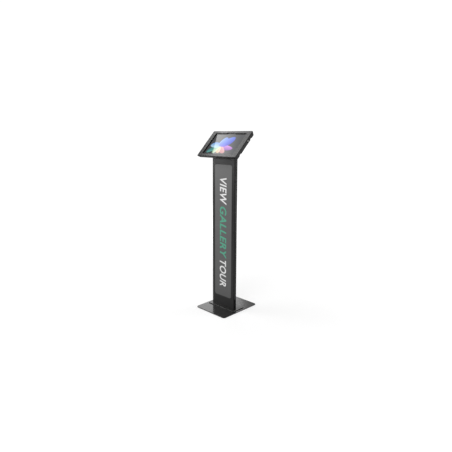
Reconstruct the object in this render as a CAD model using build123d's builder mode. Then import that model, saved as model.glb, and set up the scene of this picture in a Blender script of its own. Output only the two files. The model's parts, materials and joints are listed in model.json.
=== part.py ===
"""Free-standing touchscreen kiosk: a flat column on a heavy base plate carries a lockable tablet
enclosure tilted back towards the visitor.

Millimetres.  +Z is up, -Y is the front with the graphic panel, +X is to the visitor's right.
The origin is on the floor, in the middle of the base plate.

The enclosure has its own frame, the head frame: u runs to the right along +X, s runs up the tilted
face, and n stands out of the face towards the visitor, with n = 0 on the face.
"""
import os
from math import cos, radians, sin

from build123d import *

# ---------------------------------------------------------------- driving dimensions
# base
base_depth = 304.0
base_thickness = 5.0
base_corner = 16.0
pad_radius = 15.0
pad_thickness = 1.5
pad_inset = 24.0

base_margin = 17.0

# raised foot flange between the base plate and the column
flange_side = 16.5
flange_front_margin = 21.7
flange_back_margin = 54.9
flange_thickness = 5.0
flange_corner = 4.0

# column
column_width = 185.0
column_depth = 25.4
column_y = -21.6
sheet = 2.0
cover_thickness = 2.3
groove_height = 3.6
groove_depth = 6.0
lip_width = 12.0

# graphic panel, let into the front cover
panel_side = 20.5
panel_bottom = 79.5
panel_top_margin = 72.6
panel_corner = 14.0
pocket_depth = 1.0
panel_proud = 0.3

# tilted enclosure
tilt = 45.0
head_y = -29.2
head_z = 1043.85
head_corner = 6.0
end_taper = 8.0
side_taper = 1.0
shell_wall = 2.5
frame_thickness = 4.5
frame_bevel = 3.0
bezel_side = 34.0
bezel_end = 20.25
window_lip_side = 2.0
window_lip_end = 4.75
window_corner = 3.0
notch_width = 62.0
notch_depth = 4.0

# tablet
tablet_width = 258.0
tablet_height = 178.0
tablet_thickness = 7.0
tablet_corner = 9.0
tablet_wall = 1.2
glass_thickness = 0.8
display_border_side = 10.5
display_border_end = 15.0
gasket_thickness = 0.5
support_thickness = 9.5

# swivel between the bracket and the enclosure
spindle_radius = 9.0
spindle_bore = 6.0
swivel_size = 116.0
swivel_thickness = 3.0
swivel_hole_pitch = 100.0
washer_radius = 30.0
washer_thickness = 2.0
bracket_thickness = 4.0
bracket_half = 52.0
pin_radius = 2.5
pin_circle = 38.0
swivel_range = 90.0

# lock in the enclosure's right side
lock_s = 35.5
lock_n = -12.5
lock_window_length = 28.0
lock_window_height = 9.6
barrel_radius = 4.6
plug_radius = 3.0

# clearances
seat = 0.05
running = 0.05
face_gap = 0.1
fit_gap = 0.3

# ---------------------------------------------------------------- places worked out from them
plate_bottom = pad_thickness
plate_top = plate_bottom + base_thickness
flange_top = plate_top + flange_thickness
column_half = column_width / 2
flange_width = column_width + 2 * flange_side
base_width = flange_width + 2 * base_margin
column_front = column_y - column_depth / 2
column_back = column_y + column_depth / 2
cover_back = column_front + cover_thickness
groove_back = cover_back + groove_height
wall_inside = column_back - sheet
flange_depth = flange_front_margin + column_depth + flange_back_margin
flange_y = (column_back + flange_back_margin + column_front - flange_front_margin) / 2
panel_width = column_width - 2 * panel_side

window_width = tablet_width - 2 * window_lip_side
window_height = tablet_height - 2 * window_lip_end
head_width = window_width + 2 * bezel_side
head_height = window_height + 2 * bezel_end
head_depth = frame_thickness + gasket_thickness + tablet_thickness + support_thickness + shell_wall
display_width = tablet_width - 2 * display_border_side
display_height = tablet_height - 2 * display_border_end
head_half_u = head_width / 2
head_half_s = head_height / 2
swivel_back = -head_depth - swivel_thickness
bracket_front = swivel_back - washer_thickness
bracket_back = bracket_front - bracket_thickness
head_plane = Plane(
    origin=(0, head_y, head_z),
    x_dir=(1, 0, 0),
    z_dir=(0, -sin(radians(tilt)), cos(radians(tilt))),
)
glass_front = -frame_thickness - gasket_thickness
tablet_back = glass_front - tablet_thickness
shell_floor = -head_depth + shell_wall
cavity_u = head_half_u - shell_wall


def head(n):
    """Plane parallel to the enclosure's face, n out from it."""
    return head_plane.offset(n)


def head_point(u, s, n):
    """A point of the head frame, in the object's frame."""
    return head_plane.from_local_coords(Vector(u, s, n))


def s_at(y, n):
    """How far up the slope a plane parallel to the face meets the upright plane at y."""
    return (y - head_y + n * sin(radians(tilt))) / cos(radians(tilt))


def side_plane(u):
    """Plane across the enclosure at u: its x runs up the slope, its y out of the face."""
    return Plane(
        origin=head_point(u, 0, 0),
        x_dir=(0, cos(radians(tilt)), sin(radians(tilt))),
        z_dir=(1, 0, 0),
    )


def strip(low_x, high_x, low_y, high_y):
    """A rectangle by its limits, in the sketch that is open."""
    with Locations(((low_x + high_x) / 2, (low_y + high_y) / 2)):
        Rectangle(high_x - low_x, high_y - low_y)


def four(half_x, half_y):
    """The four corners of a rectangle about the origin."""
    return [(x, y) for x in (-half_x, half_x) for y in (-half_y, half_y)]


def finish(piece, name):
    """Label a finished piece and write it to its own file."""
    piece.part.label = name
    export_step(piece.part, f"parts/{name}.step")


os.makedirs("parts", exist_ok=True)

# the tilted top edge of the column's front and back, under the bracket
cap_low = s_at(column_front, bracket_back)
cap_high = s_at(column_back, bracket_back)
front_top = head_point(0, cap_low, bracket_back).Z
wall_top = head_point(0, cap_high, bracket_back).Z
panel_height = front_top - panel_top_margin - panel_bottom

# ================================================================ base
pad_places = four(base_width / 2 - pad_inset, base_depth / 2 - pad_inset)
base_screw_radius = 3.0
base_screw_head = 5.6
base_screw_places = [
    (x, flange_y + y)
    for x in (-(flange_width / 2 - 14), 0, flange_width / 2 - 14)
    for y in (-(flange_depth / 2 - 10), flange_depth / 2 - 10)
]
base_screw_reach = flange_thickness - 1.0

with BuildPart() as base_plate:
    with BuildSketch(Plane.XY.offset(plate_bottom)):
        RectangleRounded(base_width, base_depth, base_corner)
    extrude(amount=base_thickness)
    chamfer(base_plate.faces().sort_by(Axis.Z)[-1].outer_wire().edges(), 0.8)
    with Locations(Plane.XY.offset(plate_bottom).rotated((180, 0, 0))):
        with Locations([(x, -y) for x, y in base_screw_places]):
            CounterSinkHole(base_screw_radius + seat, base_screw_head + seat)
finish(base_plate, "base_plate")

with BuildPart() as rubber_feet:
    with BuildSketch(Plane.XY):
        with Locations(pad_places):
            Circle(pad_radius)
    extrude(amount=pad_thickness)
    chamfer(rubber_feet.faces().group_by(Axis.Z)[0].edges(), 0.5)
finish(rubber_feet, "rubber_feet")

with BuildPart() as base_screws:
    with BuildSketch(Plane.XY.offset(plate_bottom)):
        with Locations(base_screw_places):
            Circle(base_screw_radius)
    extrude(amount=base_thickness + base_screw_reach - 0.3)
    for x, y in base_screw_places:
        with BuildSketch(Plane.XY.offset(plate_bottom)):
            with Locations((x, y)):
                Circle(base_screw_head)
        extrude(amount=base_screw_head - base_screw_radius, taper=45)
    with BuildSketch(Plane.XY.offset(plate_bottom)):
        with Locations(base_screw_places):
            RegularPolygon(2.3, 6)
    extrude(amount=2.0, mode=Mode.SUBTRACT)
finish(base_screws, "base_screws")

angle_width = 40.0
angle_leg = 25.0
angle_floor = 17.0
angle_sheet = 3.0
angle_x = 52.0
angle_screw_radius = 2.5
angle_screw_head = 4.7
angle_floor_y = wall_inside - angle_floor / 2 - 1.5
angle_wall_z = flange_top + 17.0

with BuildPart() as foot_flange:
    with BuildSketch(Plane.XY.offset(plate_top)):
        with Locations((0, flange_y)):
            RectangleRounded(flange_width, flange_depth, flange_corner)
    extrude(amount=flange_thickness)
    chamfer(foot_flange.faces().sort_by(Axis.Z)[-1].outer_wire().edges(), 0.8)
    with BuildSketch(Plane.XY.offset(plate_top)):
        with Locations(base_screw_places):
            Circle(base_screw_radius + seat)
    extrude(amount=base_screw_reach, mode=Mode.SUBTRACT)
    with Locations(Plane.XY.offset(plate_top).rotated((180, 0, 0))):
        with Locations([(x, -angle_floor_y) for x in (-angle_x, angle_x)]):
            CounterSinkHole(angle_screw_radius + seat, angle_screw_head + seat)
finish(foot_flange, "foot_flange")

with BuildPart() as foot_angles:
    for x in (-angle_x, angle_x):
        with BuildSketch(Plane.YZ.offset(x - angle_width / 2)):
            strip(wall_inside - angle_floor, wall_inside, flange_top, flange_top + angle_sheet)
            strip(wall_inside - angle_sheet, wall_inside, flange_top, flange_top + angle_leg)
        extrude(amount=angle_width)
    with BuildSketch(Plane.XY.offset(flange_top)):
        with Locations((-angle_x, angle_floor_y), (angle_x, angle_floor_y)):
            Circle(angle_screw_radius + seat)
    extrude(amount=angle_sheet, mode=Mode.SUBTRACT)
    with BuildSketch(Plane.XZ.offset(-wall_inside)):
        with Locations((-angle_x, angle_wall_z), (angle_x, angle_wall_z)):
            Circle(angle_screw_radius + seat)
    extrude(amount=angle_sheet, mode=Mode.SUBTRACT)
finish(foot_angles, "foot_angles")

with BuildPart() as flange_screws:
    with BuildSketch(Plane.XY.offset(plate_top)):
        with Locations((-angle_x, angle_floor_y), (angle_x, angle_floor_y)):
            Circle(angle_screw_radius)
    extrude(amount=flange_thickness + angle_sheet + 2.0)
    for x in (-angle_x, angle_x):
        with BuildSketch(Plane.XY.offset(plate_top)):
            with Locations((x, angle_floor_y)):
                Circle(angle_screw_head)
        extrude(amount=angle_screw_head - angle_screw_radius, taper=45)
finish(flange_screws, "flange_screws")

with BuildPart() as angle_screws:
    with BuildSketch(Plane.XZ.offset(-column_back)):
        with Locations((-angle_x, angle_wall_z), (angle_x, angle_wall_z)):
            Circle(angle_screw_radius)
    extrude(amount=sheet + angle_sheet + 2.0)
    with BuildSketch(Plane.XZ.offset(-column_back)):
        with Locations((-angle_x, angle_wall_z), (angle_x, angle_wall_z)):
            Circle(angle_screw_head)
    extrude(amount=-2.4)
    fillet(angle_screws.faces().sort_by(Axis.Y)[-2:].edges(), 1.4)
    with BuildSketch(Plane.XZ.offset(-column_back - 2.4)):
        with Locations((-angle_x, angle_wall_z), (angle_x, angle_wall_z)):
            RegularPolygon(1.9, 6)
    extrude(amount=1.6, mode=Mode.SUBTRACT)
finish(angle_screws, "angle_screws")

# ================================================================ column
outlet_width = 12.0
outlet_y = (groove_back + sheet + wall_inside) / 2
outlet_top = 80.0
outlet_edging = 1.5
rivet_hole = 3.5
rivet_pitch = 40.0
rivet_z = front_top - panel_top_margin - 80.0
rivet_y = column_y + 1.1
nut_space = 20.0
nut_space_z = wall_top - 39.5
leg_bottom = wall_top - 105.5
stud_radius = 2.0
stud_x = column_half - groove_depth - 6.5
stud_heights = [panel_bottom + 50.0 + step * (panel_height - 100.0) / 2 for step in (0, 1, 2)]
bolt_radius = 3.0
bolt_places = [(x, z) for x in (-36.0, 36.0) for z in (leg_bottom + 18.0, leg_bottom + 54.0)]


def outlet_profile(grow):
    """The arched cable outlet in a side sketch, grown by a margin all round."""
    radius = outlet_width / 2 + grow
    crown = outlet_top - outlet_width / 2
    strip(outlet_y - radius, outlet_y + radius, flange_top, crown)
    with Locations((outlet_y, crown)):
        Circle(radius)


with BuildPart() as column_channel:
    with BuildSketch(Plane.XY.offset(flange_top)):
        strip(-column_half, column_half, wall_inside, column_back)
        for side in (-1, 1):
            outer = side * column_half
            neck = side * (column_half - groove_depth)
            lip = neck - side * lip_width
            strip(min(outer, outer - side * sheet), max(outer, outer - side * sheet), groove_back, column_back)
            strip(min(outer, neck), max(outer, neck), groove_back, groove_back + sheet)
            strip(min(neck, neck + side * sheet), max(neck, neck + side * sheet), cover_back, groove_back + sheet)
            strip(min(lip, neck + side * sheet), max(lip, neck + side * sheet), cover_back, cover_back + sheet)
    extrude(amount=head_z - flange_top)
    split(bisect_by=head(bracket_back), keep=Keep.BOTTOM)
    with BuildSketch(Plane.YZ.offset(column_half - groove_depth - lip_width)):
        outlet_profile(outlet_edging - 0.1)
    extrude(amount=groove_depth + lip_width, mode=Mode.SUBTRACT)
    with BuildSketch(Plane.YZ.offset(-column_half)):
        with Locations((rivet_y, rivet_z - rivet_pitch / 2), (rivet_y, rivet_z + rivet_pitch / 2)):
            Circle(rivet_hole + seat)
    extrude(amount=column_width, mode=Mode.SUBTRACT)
    with BuildSketch(Plane.XZ.offset(-column_back)):
        with Locations((-angle_x, angle_wall_z), (angle_x, angle_wall_z)):
            Circle(angle_screw_radius + seat)
        with Locations(bolt_places):
            Circle(bolt_radius + seat)
        strip(-nut_space, nut_space, nut_space_z, head_z)
    extrude(amount=sheet, mode=Mode.SUBTRACT)
    with BuildSketch(Plane.XZ.offset(-cover_back)):
        with Locations([(x, z) for x in (-stud_x, stud_x) for z in stud_heights]):
            Circle(stud_radius + seat)
    extrude(amount=-sheet, mode=Mode.SUBTRACT)
finish(column_channel, "column_channel")

with BuildPart() as outlet_grommet:
    with BuildSketch(Plane.YZ.offset(column_half - sheet - 1.0)):
        outlet_profile(outlet_edging - 0.2)
    extrude(amount=sheet + 1.6)
    with BuildSketch(Plane.YZ.offset(column_half - sheet - 1.0)):
        outlet_profile(0)
    extrude(amount=sheet + 1.6, mode=Mode.SUBTRACT)
finish(outlet_grommet, "outlet_grommet")

with BuildPart() as column_front_cover:
    with BuildSketch(Plane.XY.offset(flange_top)):
        strip(-column_half, column_half, column_front, cover_back)
    extrude(amount=head_z - flange_top)
    split(bisect_by=head(bracket_back - fit_gap), keep=Keep.BOTTOM)
    fillet(column_front_cover.edges().filter_by(Axis.Z).group_by(Axis.Y)[0], 0.8)
    with BuildSketch(Plane.XZ.offset(-column_front)):
        with Locations((0, panel_bottom + panel_height / 2)):
            RectangleRounded(panel_width, panel_height, panel_corner)
    extrude(amount=-pocket_depth, mode=Mode.SUBTRACT)
finish(column_front_cover, "column_front_cover")

with BuildPart() as graphic_panel:
    with BuildSketch(Plane.XZ.offset(-column_front - pocket_depth)):
        with Locations((0, panel_bottom + panel_height / 2)):
            RectangleRounded(panel_width - 2 * fit_gap, panel_height - 2 * fit_gap, panel_corner - fit_gap)
    extrude(amount=pocket_depth + panel_proud)
    fillet(graphic_panel.faces().sort_by(Axis.Y)[0].edges(), 0.25)
finish(graphic_panel, "graphic_panel")

nut_width = 7.0
nut_height = 3.2

with BuildPart() as cover_studs:
    with BuildSketch(Plane.XZ.offset(-cover_back)):
        with Locations([(x, z) for x in (-stud_x, stud_x) for z in stud_heights]):
            Circle(stud_radius)
    extrude(amount=-(sheet + nut_height + 1.0))
finish(cover_studs, "cover_studs")

with BuildPart() as cover_nuts:
    with BuildSketch(Plane.XZ.offset(-cover_back - sheet)):
        with Locations([(x, z) for x in (-stud_x, stud_x) for z in stud_heights]):
            RegularPolygon(nut_width / 2, 6, major_radius=False)
            Circle(stud_radius + seat, mode=Mode.SUBTRACT)
    extrude(amount=-nut_height)
finish(cover_nuts, "cover_nuts")

rivet_flange = 5.0
rivet_flange_thickness = 0.6
rivet_length = 9.0
rivet_bore = 2.1

with BuildPart() as rivet_nuts:
    for side in (-1, 1):
        outside = side * column_half
        with BuildSketch(Plane.YZ.offset(outside)):
            with Locations((rivet_y, rivet_z - rivet_pitch / 2), (rivet_y, rivet_z + rivet_pitch / 2)):
                Circle(rivet_flange)
        extrude(amount=side * rivet_flange_thickness)
        with BuildSketch(Plane.YZ.offset(outside)):
            with Locations((rivet_y, rivet_z - rivet_pitch / 2), (rivet_y, rivet_z + rivet_pitch / 2)):
                Circle(rivet_hole)
        extrude(amount=-side * rivet_length)
    with BuildSketch(Plane.YZ.offset(-column_half - rivet_flange_thickness)):
        with Locations((rivet_y, rivet_z - rivet_pitch / 2), (rivet_y, rivet_z + rivet_pitch / 2)):
            Circle(rivet_bore)
    extrude(amount=column_width + 2 * rivet_flange_thickness, mode=Mode.SUBTRACT)
finish(rivet_nuts, "rivet_nuts")

# ================================================================ head bracket and swivel
gusset_thickness = 4.0
leg_back = column_back + bracket_thickness
leg_top = head_point(0, s_at(leg_back, bracket_back), bracket_back).Z

with BuildPart() as head_bracket:
    with BuildSketch(Plane.YZ.offset(-bracket_half)):
        with BuildLine():
            Polyline(
                (column_back, leg_bottom),
                (leg_back, leg_bottom),
                (leg_back, leg_top),
                (column_back, leg_top - bracket_thickness),
                close=True,
            )
        make_face()
    extrude(amount=2 * bracket_half)
    with BuildSketch(Plane.XZ.offset(-leg_back)):
        strip(-nut_space, nut_space, nut_space_z, head_z)
        with Locations(bolt_places):
            Circle(bolt_radius + seat)
    extrude(amount=bracket_thickness, mode=Mode.SUBTRACT)
    for x in (-bracket_half, bracket_half - gusset_thickness):
        plate_end = head_point(0, bracket_half - 6.0, bracket_back)
        with BuildSketch(Plane.YZ.offset(x)):
            with BuildLine():
                Polyline(
                    (leg_back, leg_bottom + 12.0),
                    (plate_end.Y, plate_end.Z),
                    (leg_back, leg_top),
                    close=True,
                )
            make_face()
        extrude(amount=gusset_thickness)
    with BuildSketch(head(bracket_back)):
        strip(-column_half, column_half, cap_low, cap_high)
        strip(-bracket_half, bracket_half, cap_high, bracket_half)
    extrude(amount=bracket_thickness)
    with BuildSketch(head(bracket_back)):
        Circle(spindle_radius + running)
        with Locations((0, pin_circle)):
            Circle(pin_radius + seat)
    extrude(amount=bracket_thickness, mode=Mode.SUBTRACT)
finish(head_bracket, "head_bracket")

bolt_head = 5.2
bolt_head_height = 3.0
bolt_nut_height = 4.5
bolt_length = bracket_thickness + sheet + bolt_nut_height + 1.0

with BuildPart() as bracket_bolts:
    with BuildSketch(Plane.XZ.offset(-leg_back)):
        with Locations(bolt_places):
            Circle(bolt_radius)
    extrude(amount=bolt_length)
    with BuildSketch(Plane.XZ.offset(-leg_back)):
        with Locations(bolt_places):
            Circle(bolt_head)
    extrude(amount=-bolt_head_height)
    fillet(bracket_bolts.faces().sort_by(Axis.Y)[-4:].edges(), 1.8)
    with BuildSketch(Plane.XZ.offset(-leg_back - bolt_head_height)):
        with Locations(bolt_places):
            RegularPolygon(2.3, 6)
    extrude(amount=2.0, mode=Mode.SUBTRACT)
finish(bracket_bolts, "bracket_bolts")

with BuildPart() as bracket_nuts:
    with BuildSketch(Plane.XZ.offset(-wall_inside)):
        with Locations(bolt_places):
            RegularPolygon(5.0, 6, major_radius=False)
            Circle(bolt_radius + seat, mode=Mode.SUBTRACT)
    extrude(amount=bolt_nut_height)
finish(bracket_nuts, "bracket_nuts")

with BuildPart() as friction_washer:
    with BuildSketch(head(bracket_front)):
        Circle(washer_radius)
        Circle(spindle_radius + fit_gap, mode=Mode.SUBTRACT)
    extrude(amount=washer_thickness - face_gap)
finish(friction_washer, "friction_washer")

with BuildPart() as stop_pin:
    with BuildSketch(head(bracket_back)):
        with Locations((0, pin_circle)):
            Circle(pin_radius)
    extrude(amount=bracket_thickness + washer_thickness + swivel_thickness - 0.6)
finish(stop_pin, "stop_pin")

swivel_screw_radius = 2.0
swivel_screw_head = 3.9
swivel_boss = 5.0
swivel_boss_height = 7.0
swivel_places = four(swivel_hole_pitch / 2, swivel_hole_pitch / 2)
flange_radius = 14.0
spindle_flange = 2.5
nut_flats = 25.0
pivot_nut_height = 7.0
spring_height = 1.5

with BuildPart() as swivel_plate:
    with BuildSketch(head(swivel_back)):
        RectangleRounded(swivel_size, swivel_size, 8.0)
        Circle(spindle_radius + seat, mode=Mode.SUBTRACT)
        with BuildLine(mode=Mode.PRIVATE):
            slot_line = CenterArc((0, 0), pin_circle, 90 - swivel_range, swivel_range)
        SlotArc(slot_line, 2 * (pin_radius + fit_gap / 2), mode=Mode.SUBTRACT)
        with Locations(swivel_places):
            Circle(swivel_screw_radius + seat, mode=Mode.SUBTRACT)
    extrude(amount=swivel_thickness)
    for u, s in swivel_places:
        with BuildSketch(head(swivel_back)):
            with Locations((u, s)):
                Circle(swivel_screw_head + seat)
        extrude(amount=swivel_screw_head - swivel_screw_radius, taper=45, mode=Mode.SUBTRACT)
finish(swivel_plate, "swivel_plate")

with BuildPart() as swivel_screws:
    with BuildSketch(head(swivel_back)):
        with Locations(swivel_places):
            Circle(swivel_screw_radius)
    extrude(amount=swivel_thickness + shell_wall + swivel_boss_height - 2.5)
    for u, s in swivel_places:
        with BuildSketch(head(swivel_back)):
            with Locations((u, s)):
                Circle(swivel_screw_head)
        extrude(amount=swivel_screw_head - swivel_screw_radius, taper=45)
    with BuildSketch(head(swivel_back)):
        with Locations(swivel_places):
            RegularPolygon(1.4, 6)
    extrude(amount=1.4, mode=Mode.SUBTRACT)
finish(swivel_screws, "swivel_screws")

spindle_end = bracket_back - face_gap - spring_height - pivot_nut_height - 1.5

with BuildPart() as pivot_spindle:
    with BuildSketch(head(spindle_end)):
        Circle(spindle_radius)
    extrude(amount=-head_depth - spindle_end)
    with BuildSketch(head(-head_depth)):
        Circle(flange_radius)
    extrude(amount=spindle_flange)
    with BuildSketch(head(spindle_end)):
        Circle(spindle_bore)
    extrude(amount=-head_depth + spindle_flange - spindle_end, mode=Mode.SUBTRACT)
finish(pivot_spindle, "pivot_spindle")

with BuildPart() as spring_washer:
    with BuildSketch(head(bracket_back - face_gap - spring_height)):
        Circle(spindle_radius + 5.0)
        Circle(spindle_radius + seat, mode=Mode.SUBTRACT)
    extrude(amount=spring_height)
finish(spring_washer, "spring_washer")

with BuildPart() as pivot_nut:
    with BuildSketch(head(bracket_back - face_gap - spring_height - pivot_nut_height)):
        RegularPolygon(nut_flats / 2, 6, major_radius=False)
        Circle(spindle_radius + seat, mode=Mode.SUBTRACT)
    extrude(amount=pivot_nut_height)
finish(pivot_nut, "pivot_nut")

# ================================================================ enclosure
frame_screw_radius = 1.5
frame_screw_head = 2.9
frame_screw_seat = 3.0
frame_screw_reach = 3.3
frame_boss = 4.6
boss_u = head_half_u - 13.0
boss_s = head_half_s - 17.0
frame_screw_places = [(u, s) for u in (-boss_u, boss_u) for s in (-boss_s, 0, boss_s)]
relief_s = head_half_s - 42.5
relief_length = 17.0
relief_height = 4.0
relief_width = 7.0
vent_width = 3.0
vent_length = 16.0
vent_count = 8
vent_pitch = 9.0
vent_s = swivel_size / 2 + 18.0
window_top = window_height / 2 + notch_depth
lock_clear = 0.3
housing_length = 30.0
housing_height = 11.0
housing_depth = 12.0
barrel_outside = head_half_u - side_taper
barrel_inside = cavity_u - side_taper - housing_depth
keeper_sheet = 2.0
keeper_out = barrel_inside - 1.0
keeper_in = keeper_out - keeper_sheet
keeper_width = 16.0
keeper_drop = -18.5
keeper_foot = -frame_thickness - keeper_sheet
plug_end = keeper_in - 1.0
neck_flats = 3.6
mouth_gap = 0.3
keeper_screw_radius = 1.25
keeper_screw_head = 2.3
keeper_screw_reach = 2.5
keeper_screw_places = [(keeper_in - 6.0, lock_s + step) for step in (-4.5, 4.5)]


def tapered_body(shrink, low_n, high_n, mode):
    """The enclosure's tapered body between two depths, shrunk all round by a wall."""
    sections = []
    for n in (low_n, high_n):
        share = (-frame_thickness - n) / (head_depth - frame_thickness)
        with BuildSketch(head(n)) as section:
            RectangleRounded(
                head_width - 2 * (shrink + side_taper * share),
                head_height - 2 * (shrink + end_taper * share),
                head_corner - min(shrink, head_corner / 2),
            )
        sections.append(section.sketch.face())
    loft(sections, mode=mode)


with BuildPart() as rear_shell:
    tapered_body(0, -head_depth, -frame_thickness, Mode.ADD)
    tapered_body(shell_wall, shell_floor, -frame_thickness, Mode.SUBTRACT)
    with BuildSketch(head(shell_floor)):
        with Locations(frame_screw_places):
            Circle(frame_boss)
    extrude(amount=-frame_thickness - shell_floor)
    with BuildSketch(head(shell_floor)):
        with Locations(swivel_places):
            Circle(swivel_boss)
    extrude(amount=swivel_boss_height)
    for side in (-1, 1):
        for end in (-1, 1):
            inner = side * (head_half_u - relief_width - 2 * shell_wall)
            outer = side * (head_half_u - shell_wall)
            middle = end * relief_s
            with BuildSketch(head(shell_floor)):
                strip(
                    min(inner, outer),
                    max(inner, outer),
                    middle - relief_length / 2 - shell_wall,
                    middle + relief_length / 2 + shell_wall,
                )
            extrude(amount=relief_height)
            cut_in = side * (head_half_u - relief_width)
            cut_out = side * (head_half_u + 1)
            with BuildSketch(head(-head_depth)):
                strip(
                    min(cut_in, cut_out),
                    max(cut_in, cut_out),
                    middle - relief_length / 2,
                    middle + relief_length / 2,
                )
            extrude(amount=relief_height, mode=Mode.SUBTRACT)
    with BuildSketch(head(-head_depth)):
        with Locations(frame_screw_places):
            Circle(frame_screw_radius + seat)
        Circle(flange_radius + fit_gap)
        for end in (-1, 1):
            with Locations((0, end * vent_s)):
                with GridLocations(vent_pitch, 0, vent_count, 1):
                    SlotOverall(vent_length, vent_width, rotation=90)
    extrude(amount=head_depth, mode=Mode.SUBTRACT)
    with BuildSketch(head(-head_depth)):
        with Locations(frame_screw_places):
            Circle(frame_screw_head + seat)
    extrude(amount=frame_screw_seat, mode=Mode.SUBTRACT)
    with BuildSketch(head(-head_depth)):
        with Locations(swivel_places):
            Circle(swivel_screw_radius + seat)
    extrude(amount=shell_wall + swivel_boss_height - 1.5, mode=Mode.SUBTRACT)
    with BuildSketch(side_plane(cavity_u - 2.0)):
        with Locations((lock_s, lock_n)):
            SlotOverall(lock_window_length, lock_window_height)
    extrude(amount=shell_wall + 4.0, mode=Mode.SUBTRACT)
finish(rear_shell, "rear_shell")

with BuildPart() as front_frame:
    with BuildSketch(head(-frame_thickness)):
        RectangleRounded(head_width, head_height, head_corner)
    extrude(amount=frame_thickness)
    chamfer(front_frame.faces().sort_by(Axis(head_plane.origin, head_plane.z_dir))[-1].edges(), frame_bevel, 2.0)
    with BuildSketch(head(-frame_thickness)):
        RectangleRounded(window_width, window_height, window_corner)
        with BuildLine():
            Polyline(
                (-notch_width / 2 - notch_depth, window_height / 2 - 1),
                (-notch_width / 2 - notch_depth, window_height / 2),
                (-notch_width / 2, window_top),
                (notch_width / 2, window_top),
                (notch_width / 2 + notch_depth, window_height / 2),
                (notch_width / 2 + notch_depth, window_height / 2 - 1),
                close=True,
            )
        make_face()
    extrude(amount=frame_thickness, mode=Mode.SUBTRACT)
    with BuildSketch(head(-frame_thickness)):
        with Locations(frame_screw_places):
            Circle(frame_screw_radius + seat)
    extrude(amount=frame_screw_reach + 0.3, mode=Mode.SUBTRACT)
    with BuildSketch(head(-frame_thickness)):
        with Locations(keeper_screw_places):
            Circle(keeper_screw_radius + seat)
    extrude(amount=keeper_screw_reach, mode=Mode.SUBTRACT)
finish(front_frame, "front_frame")

with BuildPart() as frame_screws:
    with BuildSketch(head(-head_depth + frame_screw_seat)):
        with Locations(frame_screw_places):
            Circle(frame_screw_radius)
    extrude(amount=head_depth - frame_screw_seat - frame_thickness + frame_screw_reach)
    with BuildSketch(head(-head_depth + frame_screw_seat)):
        with Locations(frame_screw_places):
            Circle(frame_screw_head)
    extrude(amount=-2.5)
    with BuildSketch(head(-head_depth + frame_screw_seat - 2.5)):
        with Locations(frame_screw_places):
            RegularPolygon(1.5, 6)
    extrude(amount=1.4, mode=Mode.SUBTRACT)
finish(frame_screws, "frame_screws")

gasket_width = 2.8

with BuildPart() as screen_gasket:
    with BuildSketch(head(glass_front)):
        Rectangle(window_width + 2 * gasket_width, 2 * window_top + 2 * gasket_width)
        Rectangle(window_width + 2 * fit_gap, 2 * window_top + 2 * fit_gap, mode=Mode.SUBTRACT)
    extrude(amount=gasket_thickness)
finish(screen_gasket, "screen_gasket")

# ================================================================ tablet
key_s = tablet_height / 2
power_u = tablet_width / 2 - 25.0
power_length = 11.0
rocker_u = tablet_width / 2 - 87.0
rocker_length = 24.0
key_height = 2.4
key_gap = 0.15
key_proud = 0.5
key_n = glass_front - 3.4
key_stop = 0.8

with BuildPart() as tablet_body:
    with BuildSketch(head(tablet_back)):
        RectangleRounded(tablet_width, tablet_height, tablet_corner)
    extrude(amount=tablet_thickness)
    fillet(tablet_body.faces().sort_by(Axis(head_plane.origin, head_plane.z_dir))[0].edges(), 1.5)
    with BuildSketch(head(tablet_back + tablet_wall)):
        RectangleRounded(
            tablet_width - 2 * tablet_wall, tablet_height - 2 * tablet_wall, tablet_corner - tablet_wall
        )
    extrude(amount=tablet_thickness, mode=Mode.SUBTRACT)
    for key_u, key_length in ((power_u, power_length), (rocker_u, rocker_length)):
        with BuildSketch(head(key_n - key_height / 2 - key_gap)):
            strip(
                key_u - key_length / 2 - key_gap,
                key_u + key_length / 2 + key_gap,
                key_s - 2 * tablet_wall,
                key_s + 1,
            )
        extrude(amount=key_height + 2 * key_gap, mode=Mode.SUBTRACT)
finish(tablet_body, "tablet_body")


def side_key(key_u, key_length):
    """A key that stands out of the tablet's upper edge, with a wider foot inside the wall."""
    with BuildSketch(head(key_n - key_height / 2)) as outline:
        strip(
            key_u - key_length / 2,
            key_u + key_length / 2,
            key_s - tablet_wall - key_stop,
            key_s + key_proud,
        )
        strip(
            key_u - key_length / 2 - key_stop,
            key_u + key_length / 2 + key_stop,
            key_s - tablet_wall - key_stop,
            key_s - tablet_wall - key_gap,
        )
    extrude(outline.sketch, amount=key_height)


with BuildPart() as power_key:
    side_key(power_u, power_length)
finish(power_key, "power_key")

with BuildPart() as volume_rocker:
    side_key(rocker_u, rocker_length)
finish(volume_rocker, "volume_rocker")

camera_radius = 1.1
camera_s = window_height / 2 + notch_depth / 4
display_thickness = 1.2

with BuildPart() as cover_glass:
    with BuildSketch(head(glass_front - glass_thickness)):
        RectangleRounded(
            tablet_width - 2 * tablet_wall - 0.2,
            tablet_height - 2 * tablet_wall - 0.2,
            tablet_corner - tablet_wall,
        )
        with Locations((0, camera_s)):
            Circle(camera_radius + seat, mode=Mode.SUBTRACT)
    extrude(amount=glass_thickness)
finish(cover_glass, "cover_glass")

with BuildPart() as front_camera:
    with BuildSketch(head(glass_front - glass_thickness - 1.0)):
        with Locations((0, camera_s)):
            Circle(camera_radius)
    extrude(amount=glass_thickness + 1.0)
finish(front_camera, "front_camera")

with BuildPart() as display_module:
    with BuildSketch(head(glass_front - glass_thickness - display_thickness)):
        RectangleRounded(display_width, display_height, 2.0)
    extrude(amount=display_thickness)
finish(display_module, "display_module")

inside_floor = tablet_back + tablet_wall
battery_thickness = 3.0
board_u = tablet_width / 2 - 41.0

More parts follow.
